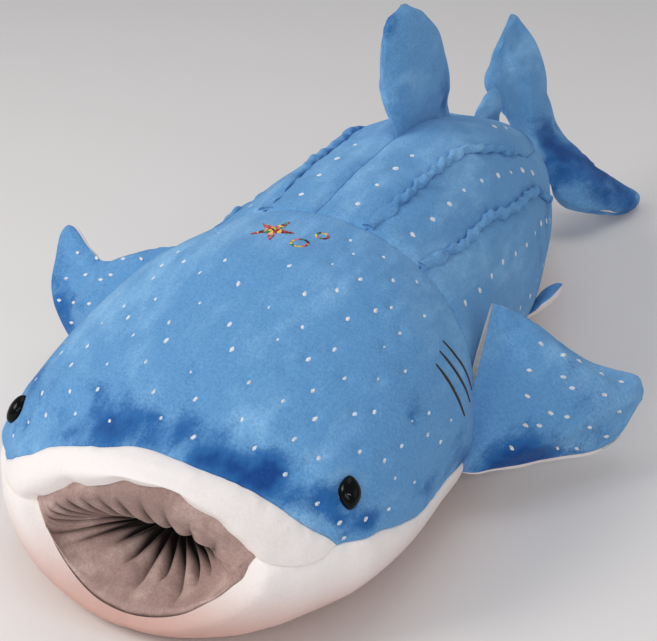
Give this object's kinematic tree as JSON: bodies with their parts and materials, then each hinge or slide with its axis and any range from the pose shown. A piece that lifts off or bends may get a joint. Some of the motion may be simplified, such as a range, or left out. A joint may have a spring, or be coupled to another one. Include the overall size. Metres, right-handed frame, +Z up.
{
  "type": "plush whale shark",
  "caption": "Soft stuffed whale shark toy with an open gathered mouth, swaying fins and tail, embroidered gills and spots, lying on its belly.",
  "frame": {"origin": "middle of the flat stretch of belly that the toy rests on, on its underside under the neck", "axes": "+X towards the animal's left side, +Y from the mouth towards the tail, +Z up"},
  "size_m": [0.5899, 1.024, 0.3507],
  "materials": {
    "blue_plush": "short crushed minky pile, mid blue with darker brushed patches",
    "white_plush": "short minky pile, warm white",
    "mouth_lining": "smooth short pile, grey brown, gathered in pleats",
    "filling": "loose polyester fibre",
    "eye_plastic": "polished black",
    "washer_plastic": "moulded, dull",
    "spot_thread": "white satin-stitch thread",
    "gill_thread": "black satin-stitch thread",
    "motif_thread": "variegated rayon thread, red, yellow and green",
    "tie_thread": "waxed upholstery thread"
  },
  "bodies": {
    "trunk": {"body_stuffing": "filling", "head_panel": "blue_plush", "back_panel_left": "blue_plush", "back_panel_right": "blue_plush", "flank_upper_left": "blue_plush", "flank_upper_right": "blue_plush", "flank_lower_left": "blue_plush", "flank_lower_right": "blue_plush", "belly_panel": "white_plush", "upper_lip": "white_plush", "mouth_lining_upper": "mouth_lining", "mouth_lining_lower": "mouth_lining", "throat_tie": "tie_thread", "ridge_inner_left": "blue_plush", "ridge_inner_right": "blue_plush", "ridge_outer_left": "blue_plush", "ridge_outer_right": "blue_plush", "eye_left": "eye_plastic", "eye_right": "eye_plastic", "eye_washer_left": "washer_plastic", "eye_washer_right": "washer_plastic", "gill_stitches_left": "gill_thread", "gill_stitches_right": "gill_thread", "head_spots": "spot_thread", "back_spots": "spot_thread", "head_motif": "motif_thread"},
    "pectoral_left": {"pectoral_left_top": "blue_plush", "pectoral_left_underside": "white_plush", "pectoral_left_stuffing": "filling", "pectoral_left_spots": "spot_thread"},
    "pectoral_right": {"pectoral_right_top": "blue_plush", "pectoral_right_underside": "white_plush", "pectoral_right_stuffing": "filling", "pectoral_right_spots": "spot_thread"},
    "pelvic_left": {"pelvic_left_top": "blue_plush", "pelvic_left_underside": "white_plush", "pelvic_left_stuffing": "filling"},
    "pelvic_right": {"pelvic_right_top": "blue_plush", "pelvic_right_underside": "white_plush", "pelvic_right_stuffing": "filling"},
    "dorsal_fin": {"dorsal_left": "blue_plush", "dorsal_right": "blue_plush", "dorsal_stuffing": "filling"},
    "second_dorsal_fin": {"second_dorsal_left": "blue_plush", "second_dorsal_right": "blue_plush", "second_dorsal_stuffing": "filling"},
    "tail_fin": {"tail_left": "blue_plush", "tail_right": "blue_plush", "tail_stuffing": "filling"}
  },
  "joints": [
    {"name": "pectoral_left_flap", "type": "hinge", "parent": "trunk", "child": "pectoral_left", "pos_m": [0.166, -0.074, 0.046], "axis": [0.0301, -0.6916, -0.7217], "range_deg": [-12, 24], "stiffness_Nm_per_rad": 0.5},
    {"name": "pectoral_right_flap", "type": "hinge", "parent": "trunk", "child": "pectoral_right", "pos_m": [-0.166, -0.074, 0.046], "axis": [0.0301, 0.6916, 0.7217], "range_deg": [-28, 10], "stiffness_Nm_per_rad": 0.5},
    {"name": "pelvic_left_flap", "type": "hinge", "parent": "trunk", "child": "pelvic_left", "pos_m": [0.11, 0.232, 0.044], "axis": [0, -0.9988, -0.0499], "range_deg": [-35, 4], "stiffness_Nm_per_rad": 0.1},
    {"name": "pelvic_right_flap", "type": "hinge", "parent": "trunk", "child": "pelvic_right", "pos_m": [-0.11, 0.232, 0.044], "axis": [0, 0.9988, 0.0499], "range_deg": [-35, 4], "stiffness_Nm_per_rad": 0.1},
    {"name": "dorsal_fin_sway", "type": "hinge", "parent": "trunk", "child": "dorsal_fin", "pos_m": [0, 0.217, 0.24], "axis": [0, 0.9901, -0.14], "range_deg": [-20, 35], "stiffness_Nm_per_rad": 0.4},
    {"name": "second_dorsal_sway", "type": "hinge", "parent": "trunk", "child": "second_dorsal_fin", "pos_m": [0, 0.394, 0.186], "axis": [0, 0.9292, -0.3697], "range_deg": [-25, 25], "stiffness_Nm_per_rad": 0.1},
    {"name": "tail_fin_swing", "type": "hinge", "parent": "trunk", "child": "tail_fin", "pos_m": [0, 0.508, 0.095], "axis": [0, 0, 1], "range_deg": [-18, 18], "stiffness_Nm_per_rad": 0.8}
  ]
}
